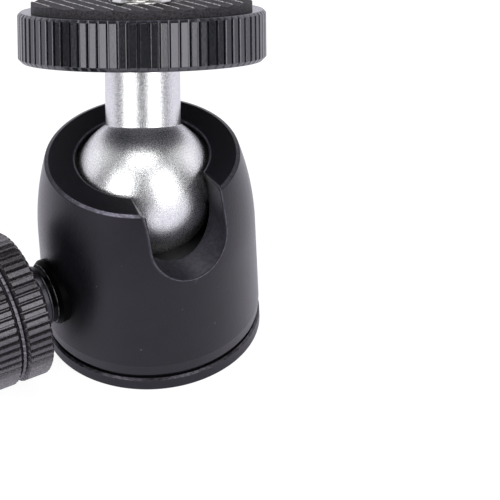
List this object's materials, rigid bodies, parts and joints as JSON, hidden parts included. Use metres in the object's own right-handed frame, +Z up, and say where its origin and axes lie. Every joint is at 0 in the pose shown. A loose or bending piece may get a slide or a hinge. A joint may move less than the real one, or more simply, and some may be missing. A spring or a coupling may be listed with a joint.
{
  "type": "mini ball head",
  "caption": "Small camera ball head: slotted turned housing, ball on a stem, side clamp knob, knurled lock ring with rubber pad, threaded stud and threaded base.",
  "frame": {"origin": "centre of the base plate's underside, on the housing's axis", "axes": "+Z up the housing's axis, -Y out through the slot in the housing's wall, -X out along the clamp knob's axis; the stem is posed leaning as in the picture"},
  "size_m": [0.0571, 0.0458, 0.06],
  "materials": {
    "housing_anodised": "satin black anodised, turned",
    "base_anodised": "satin black anodised, turned",
    "insert_steel": "turned steel, threaded",
    "base_screw_steel": "black oxide steel",
    "pin_steel": "ground steel",
    "bushing_anodised": "gloss black anodised, turned",
    "liner_plastic": "moulded acetal, black",
    "lifter_brass": "machined brass",
    "spring_steel": "spring steel",
    "cup_plastic": "moulded acetal, black",
    "ball_blasted_aluminium": "bead blasted aluminium, clear anodised",
    "washer_nylon": "nylon",
    "ring_anodised": "gloss black anodised, knurled",
    "pad_rubber": "ribbed black rubber",
    "stop_washer_steel": "turned stainless steel",
    "camera_screw_steel": "turned stainless steel, threaded",
    "clamp_screw_steel": "zinc plated steel",
    "collar_washer_steel": "bright steel",
    "collar_anodised": "grey anodised, turned",
    "knob_anodised": "matt black anodised, knurled",
    "knob_cap_anodised": "satin black anodised, turned"
  },
  "bodies": {
    "housing": {"housing": "housing_anodised", "base_plate": "base_anodised", "base_thread_insert": "insert_steel", "base_screws": "base_screw_steel", "guide_pins": "pin_steel", "clamp_bushing": "bushing_anodised", "upper_liner": "liner_plastic"},
    "lifter": {"lifter": "lifter_brass", "disc_spring": "spring_steel"},
    "cup": {"lower_cup": "cup_plastic"},
    "ball": {"ball_stem": "ball_blasted_aluminium", "stop_washer": "stop_washer_steel", "camera_screw": "camera_screw_steel"},
    "ring_slider": {"friction_washer": "washer_nylon"},
    "ring": {"lock_ring": "ring_anodised", "rubber_pad": "pad_rubber"},
    "knob_slider": {"collar_washer": "collar_washer_steel", "thrust_collar": "collar_anodised"},
    "knob": {"clamp_screw": "clamp_screw_steel", "knob_body": "knob_anodised", "knob_cap": "knob_cap_anodised"}
  },
  "joints": [
    {"name": "knob_travel", "type": "slide", "parent": "housing", "child": "knob_slider", "axis": [-1, 0, 0], "range_m": [0, 0.0012]},
    {"name": "knob_turn", "type": "hinge", "parent": "knob_slider", "child": "knob", "pos_m": [0, 0, 0.01328], "axis": [-1, 0, 0], "range_deg": [0, 541]},
    {"name": "lifter_drop", "type": "slide", "parent": "housing", "child": "lifter", "axis": [0, 0, -1], "range_m": [0, 0.00044]},
    {"name": "pan", "type": "hinge", "parent": "housing", "child": "cup", "pos_m": [0, 0, 0.0273], "axis": [0, 0, 1], "continuous": true},
    {"name": "tilt", "type": "hinge", "parent": "cup", "child": "ball", "pos_m": [0, 0, 0.0273], "axis": [-0.8607, 0.509, 0], "range_deg": [-63.39, 0]},
    {"name": "ring_travel", "type": "slide", "parent": "ball", "child": "ring_slider", "axis": [0.2675, 0.4523, 0.8508], "range_m": [0, 0.0012]},
    {"name": "ring_turn", "type": "hinge", "parent": "ring_slider", "child": "ring", "pos_m": [0.00748, 0.01265, 0.05109], "axis": [0.2675, 0.4523, 0.8508], "range_deg": [0, 433]}
  ],
  "couplings": [
    {"joint": "knob_turn", "follows": "knob_travel", "rad_per_m": 7854},
    {"joint": "lifter_drop", "follows": "knob_travel", "ratio": 0.36397},
    {"joint": "ring_turn", "follows": "ring_travel", "rad_per_m": 6283.2}
  ]
}
